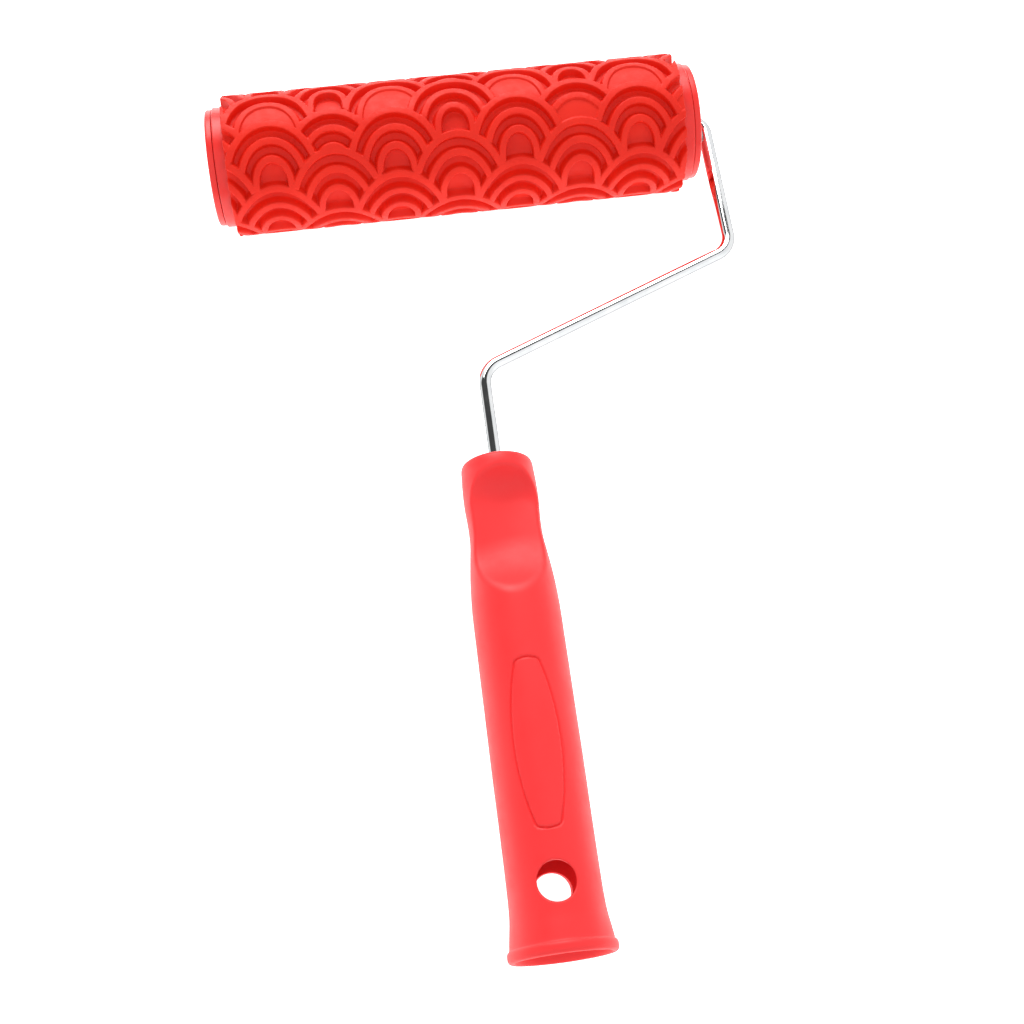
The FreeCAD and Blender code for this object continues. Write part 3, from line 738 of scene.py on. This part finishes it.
def skin_patch(radius_at, rows, columns, lines):
    """Triangles of the skin between the first and last row, with the hanging hole open on both sides.

    Lines and corners are (turn, along) pairs. The triangles are made on the developed skin, in millimetres.
    """
    unroll = np.array([radius_at(np.array([rows[len(rows) // 2]]))[0], 1.0])
    insets = (0.0, 0.05, 0.14, 0.28, 0.55, 0.9)
    hole = [hole_line(radius_at, inset, front) for inset in insets for front in (True, False)]
    turns = np.linspace(0, TAU, columns + 1)
    borders = [[(t, rows[0]) for t in turns], [(t, rows[-1]) for t in turns],
               [(0, s) for s in rows], [(TAU, s) for s in rows]]
    turn, along = [a.ravel() for a in np.meshgrid(turns[1:-1], rows[1:-1])]
    clear = from_hole(turn, along, radius_at(along)) > 1.2
    here = np.stack([turn, along], axis=1) * unroll
    for line in lines:
        marks = line * unroll
        near = np.flatnonzero(clear & (np.abs(turn - math.pi / 2) < 0.75) & (along > 72) & (along < 131))
        gap = np.linalg.norm(here[near][:, None] - marks[None], axis=2).min(axis=1)
        clear[near[gap < 0.28]] = False

    def keep(centres):
        t, s = (centres / unroll).T
        inside = (t > 0) & (t < TAU) & (s > rows[0]) & (s < rows[-1])
        return inside & (from_hole(t, s, radius_at(s)) > 0)

    developed = [np.array(line) * unroll for line in borders + hole + lines]
    flat, faces = triangulate(developed, here[clear], keep)
    return flat / unroll, faces


def make_handle():
    """Hollow handle: outer skin, socket's skin, tang bore, mouth, socket's tip and the hole's two walls."""
    columns = 216
    turns = np.arange(columns) * TAU / columns
    outline = boat_outline()
    grooves = []
    for offset in (-0.44, -0.22, 0.0, 0.22, 0.44):
        ahead = np.roll(outline, -1, axis=0) - np.roll(outline, 1, axis=0)
        ahead /= np.linalg.norm(ahead, axis=1)[:, None]
        moved = outline + np.stack([ahead[:, 1], -ahead[:, 0]], axis=1) * offset
        moved = np.vstack([moved, moved[:1]])
        across, along = moved.T
        grooves.append(np.stack([math.pi / 2 - across / grip_radius(along), along], axis=1))
    rows = np.concatenate([np.arange(1.9, 18, 0.34), np.arange(18.2, 53, 0.5), np.arange(53.5, 150, 1.1),
                           np.arange(150.6, 157.5, 0.8), [157.8]])
    flat, faces = skin_patch(grip_radius, rows, columns, grooves)
    turn, along = flat[:, 0], flat[:, 1]
    radius = handle_radius(turn, along)
    radius -= groove_depth((math.pi / 2 - turn) * grip_radius(along), along, outline)
    rim = np.clip(from_hole(turn, along, grip_radius(along)), 0, HOLE_EDGE)
    radius -= HOLE_EDGE - np.sqrt(HOLE_EDGE ** 2 - (HOLE_EDGE - rim) ** 2)
    points, all_faces = [handle_points(turn, along, radius)], [faces]
    count = len(flat)

    def socket_radius(s):
        return np.interp(s, [70.0, 134.0, 151.0], [12.28, 12.3, 12.52])

    rows_in = np.concatenate([np.arange(70.0, 128, 4.0), np.arange(128.5, 151, 1.5), [151.0]])
    inner, inner_faces = skin_patch(socket_radius, rows_in, columns, [])
    turn, along = inner.T
    radius = socket_radius(along)
    rim = np.clip(from_hole(turn, along, radius), 0, INNER_HOLE_EDGE)
    radius = radius + INNER_HOLE_EDGE - np.sqrt(INNER_HOLE_EDGE ** 2 - (INNER_HOLE_EDGE - rim) ** 2)
    points.append(handle_points(turn, along, radius))
    all_faces.append(inner_faces + count)
    count += len(inner)

    def ring(s, r):
        return handle_points(turns, np.full(columns, s), np.full(columns, r))

    def rings(stations):
        nonlocal count
        made = np.concatenate([ring(s, r) for s, r in stations])
        points.append(made)
        quads = np.array(ring_faces(len(stations), columns))
        all_faces.append(np.concatenate([quads[:, [0, 1, 2]], quads[:, [0, 2, 3]]]) + count)
        count += len(made)

    shoulder = np.array([0.03, 0.08, 0.15, 0.28, 0.42, 0.7, 1.0, 1.3, 1.6])
    top = TANG_BORE + list(zip(shoulder, grip_radius(shoulder)))
    edge_of_skin = handle_radius(turns, np.full(columns, rows[0]))
    rings(top)
    joint = np.concatenate([ring(*top[-1]), ring(rows[0], edge_of_skin)])
    points.append(joint)
    quads = np.array(ring_faces(2, columns))
    all_faces.append(np.concatenate([quads[:, [0, 1, 2]], quads[:, [0, 2, 3]]]) + count)
    count += len(joint)
    rings(MOUTH)
    rings(SOCKET_TIP)
    # Walls of the hanging hole, from the outer skin's edge to the socket's edge.
    for front in (True, False):
        outer = hole_line(grip_radius, 0.0, front)
        inner_edge = hole_line(socket_radius, 0.0, front)
        outer_r = grip_radius(outer[:, 1]) - HOLE_EDGE
        inner_r = socket_radius(inner_edge[:, 1]) + INNER_HOLE_EDGE
        a = handle_points(outer[:, 0], outer[:, 1], outer_r)
        b = handle_points(inner_edge[:, 0], inner_edge[:, 1], inner_r)
        n = len(a)
        points += [a, b]
        i = np.arange(n - 1)
        all_faces.append(np.stack([i, i + 1, n + i + 1], axis=1) + count)
        all_faces.append(np.stack([i, n + i + 1, n + i], axis=1) + count)
        count += 2 * n
    add_mesh("moulded_handle", np.concatenate(points), np.concatenate(all_faces), HANDLE_RED, "frame",
             "handle")


make_sleeve()
make_core()
make_roller_end("frame_side", 1)
make_roller_end("free_side", -1)
make_lock_nut()
make_wire()
make_handle()

# ---------------------------------------------------------------- floor, light, camera

floor_paint = Paint("pale_floor", (0.93, 0.93, 0.93), Roughness=0.55, Specular_IOR_Level=0.2)
floor_paint.shader.inputs["Emission Color"].default_value = (1, 1, 1, 1)
floor_paint.shader.inputs["Emission Strength"].default_value = 1.0
sheet = bpy.data.meshes.new("floor")
reach, below = 3.0, -0.0002
sheet.from_pydata([(-reach, -reach, below), (reach, -reach, below), (reach, reach, below),
                   (-reach, reach, below)], [], [(0, 1, 2, 3)])
sheet.materials.append(floor_paint.material)
floor = bpy.data.objects.new("floor", sheet)
bpy.context.scene.collection.objects.link(floor)

world = bpy.data.worlds.new("soft_studio")
world.use_nodes = True
bpy.context.scene.world = world
sky = world.node_tree
direction = sky.nodes.new("ShaderNodeTexCoord").outputs["Generated"]


def sky_range(value, low, high, to_low, to_high):
    made = sky.nodes.new("ShaderNodeMapRange")
    made.interpolation_type = "SMOOTHSTEP"
    sky.links.new(value, made.inputs["Value"])
    for label, number in (("From Min", low), ("From Max", high), ("To Min", to_low), ("To Max", to_high)):
        made.inputs[label].default_value = number
    return made.outputs["Result"]


def sky_math(operation, *values):
    made = sky.nodes.new("ShaderNodeMath")
    made.operation = operation
    for socket, value in zip(made.inputs, values):
        if isinstance(value, bpy.types.NodeSocket):
            sky.links.new(value, socket)
        else:
            socket.default_value = value
    return made.outputs[0]


# The studio's walls are white. Its ceiling has one unlit oval, above the roller's far side, and the foot of
# the walls is dark.
axes = sky.nodes.new("ShaderNodeSeparateXYZ")
sky.links.new(direction, axes.inputs[0])
east, north, up = axes.outputs
oval = [sky_math("POWER", sky_math("DIVIDE", sky_math("SUBTRACT", value, middle), half), 2.0)
        for value, middle, half in ((east, -0.2, 0.58), (north, 0.36, 0.28))]
ceiling = sky_range(sky_math("ADD", *oval), 0.8, 1.25, 0.06, 0.95)
walls_foot = sky_range(up, 0.08, 0.17, 0.08, 1.0)
near_wall = sky_range(north, -0.45, 0.05, 1.2, 1.0)
brightness = sky_math("MULTIPLY", sky_math("MULTIPLY", ceiling, walls_foot), near_wall)
sky.links.new(brightness, sky.nodes["Background"].inputs["Strength"])
sky.nodes["Background"].inputs["Color"].default_value = (1, 1, 1, 1)


def add_softbox(name, place, target, width, power):
    lamp = bpy.data.lights.new(name, "AREA")
    lamp.shape = "SQUARE"
    lamp.size = width
    lamp.energy = power
    holder = bpy.data.objects.new(name, lamp)
    holder.location = place
    holder.rotation_mode = "QUATERNION"
    holder.rotation_quaternion = (Vector(target) - Vector(place)).to_track_quat("-Z", "Y")
    bpy.context.scene.collection.objects.link(holder)


add_softbox("key_softbox", place=(-0.05, 1.02, 0.85), target=(0, 0.05, 0.02), width=0.8, power=13.0)

CAMERA_TARGET = Vector((-3.06, -15.76, 25.0)) * MM
CAMERA_DISTANCE = 499.6 * MM
azimuth, elevation, roll = math.radians(-11.252), math.radians(66.54), math.radians(3.589)
back = Vector((math.sin(azimuth) * math.cos(elevation), -math.cos(azimuth) * math.cos(elevation),
               math.sin(elevation)))
lens = bpy.data.cameras.new("camera")
lens.sensor_width = 36.0
lens.lens = 53.34
lens.clip_start = 0.01
camera = bpy.data.objects.new("camera", lens)
camera.rotation_mode = "QUATERNION"
camera.location = CAMERA_TARGET + back * CAMERA_DISTANCE
level = (-back).to_track_quat("-Z", "Y")
camera.rotation_quaternion = level @ Matrix.Rotation(roll, 3, "Z").to_quaternion()
bpy.context.scene.collection.objects.link(camera)
bpy.context.scene.camera = camera
bpy.context.scene.view_settings.view_transform = "Standard"
bpy.context.scene.view_settings.look = "None"
